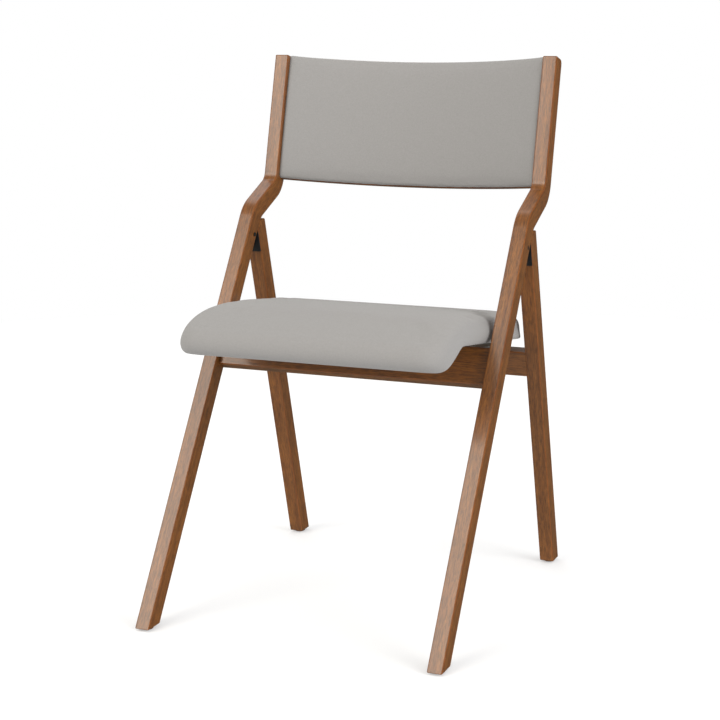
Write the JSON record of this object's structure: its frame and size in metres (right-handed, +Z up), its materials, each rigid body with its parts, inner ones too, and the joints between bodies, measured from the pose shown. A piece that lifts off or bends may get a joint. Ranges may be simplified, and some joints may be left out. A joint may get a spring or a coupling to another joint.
{
  "type": "folding chair",
  "caption": "Folding side chair with bentwood legs, a hinged padded seat, a padded curved back and rear legs that fold forward with the seat.",
  "frame": {"origin": "on the floor, midway across the chair and midway between the front feet's toes and the rear feet's heels", "axes": "+Z up, +X to the right of someone who faces the chair's front, and the seat faces -Y"},
  "size_m": [0.47, 0.5648, 0.8131],
  "materials": {
    "walnut_stained_wood": "walnut brown stain under clear satin lacquer",
    "beech": "raw beech and birch ply",
    "upholstery": "smooth warm grey upholstery",
    "black_steel": "black powder coat",
    "zinc_steel": "bright zinc plated",
    "glide_plastic": "moulded brown",
    "dust_cloth": "black non-woven",
    "bumper_rubber": "black"
  },
  "bodies": {
    "front_frame": {"left_front_leg": "walnut_stained_wood", "right_front_leg": "walnut_stained_wood", "front_rail": "walnut_stained_wood", "front_rail_dowels": "beech", "back_panel": "walnut_stained_wood", "back_panel_dowels": "beech", "back_pad": "upholstery", "left_front_glide": "glide_plastic", "right_front_glide": "glide_plastic", "front_glide_nails": "zinc_steel", "left_leg_pivot_pin": "black_steel", "right_leg_pivot_pin": "black_steel", "left_rail_hinge_leaf": "zinc_steel", "right_rail_hinge_leaf": "zinc_steel", "rail_hinge_screws": "zinc_steel", "left_seat_hinge_pin": "zinc_steel", "right_seat_hinge_pin": "zinc_steel"},
    "rear_frame": {"left_rear_leg": "walnut_stained_wood", "right_rear_leg": "walnut_stained_wood", "rear_rail": "walnut_stained_wood", "rear_rail_dowels": "beech", "left_leg_bracket": "black_steel", "right_leg_bracket": "black_steel", "leg_bracket_screws": "black_steel", "left_rail_link_bracket": "zinc_steel", "right_rail_link_bracket": "zinc_steel", "rail_bracket_screws": "zinc_steel", "left_rear_glide": "glide_plastic", "right_rear_glide": "glide_plastic", "rear_glide_nails": "zinc_steel"},
    "seat": {"seat_board": "beech", "seat_cushion": "upholstery", "seat_dust_cover": "dust_cloth", "left_seat_hinge_leaf": "zinc_steel", "right_seat_hinge_leaf": "zinc_steel", "seat_hinge_screws": "zinc_steel", "left_seat_link_bracket": "zinc_steel", "right_seat_link_bracket": "zinc_steel", "seat_bracket_screws": "zinc_steel", "left_link_rivet": "zinc_steel", "right_link_rivet": "zinc_steel", "seat_bumpers": "bumper_rubber", "seat_bumper_screws": "zinc_steel"},
    "left_link": {"left_link": "zinc_steel", "left_link_stud": "zinc_steel"},
    "right_link": {"right_link": "zinc_steel", "right_link_stud": "zinc_steel"}
  },
  "joints": [
    {"name": "seat_fold", "type": "hinge", "parent": "front_frame", "child": "seat", "pos_m": [0, -0.02047, 0.40292], "axis": [1, 0, 0], "range_deg": [0, 64.8]},
    {"name": "rear_leg_fold", "type": "hinge", "parent": "front_frame", "child": "rear_frame", "pos_m": [0, 0.0791, 0.53554], "axis": [-1, 0, 0], "range_deg": [0, 48.8]},
    {"name": "left_link_turn", "type": "hinge", "parent": "seat", "child": "left_link", "pos_m": [-0.1595, 0.05917, 0.38796], "axis": [-1, 0, 0], "range_deg": [0, 158.87]},
    {"name": "right_link_turn", "type": "hinge", "parent": "seat", "child": "right_link", "pos_m": [0.1595, 0.05917, 0.38796], "axis": [-1, 0, 0], "range_deg": [0, 158.87]}
  ],
  "couplings": [
    {"joint": "rear_leg_fold", "follows": "seat_fold", "ratio": 0.75308},
    {"joint": "left_link_turn", "follows": "seat_fold", "ratio": 2.4517},
    {"joint": "right_link_turn", "follows": "seat_fold", "ratio": 2.4517}
  ]
}
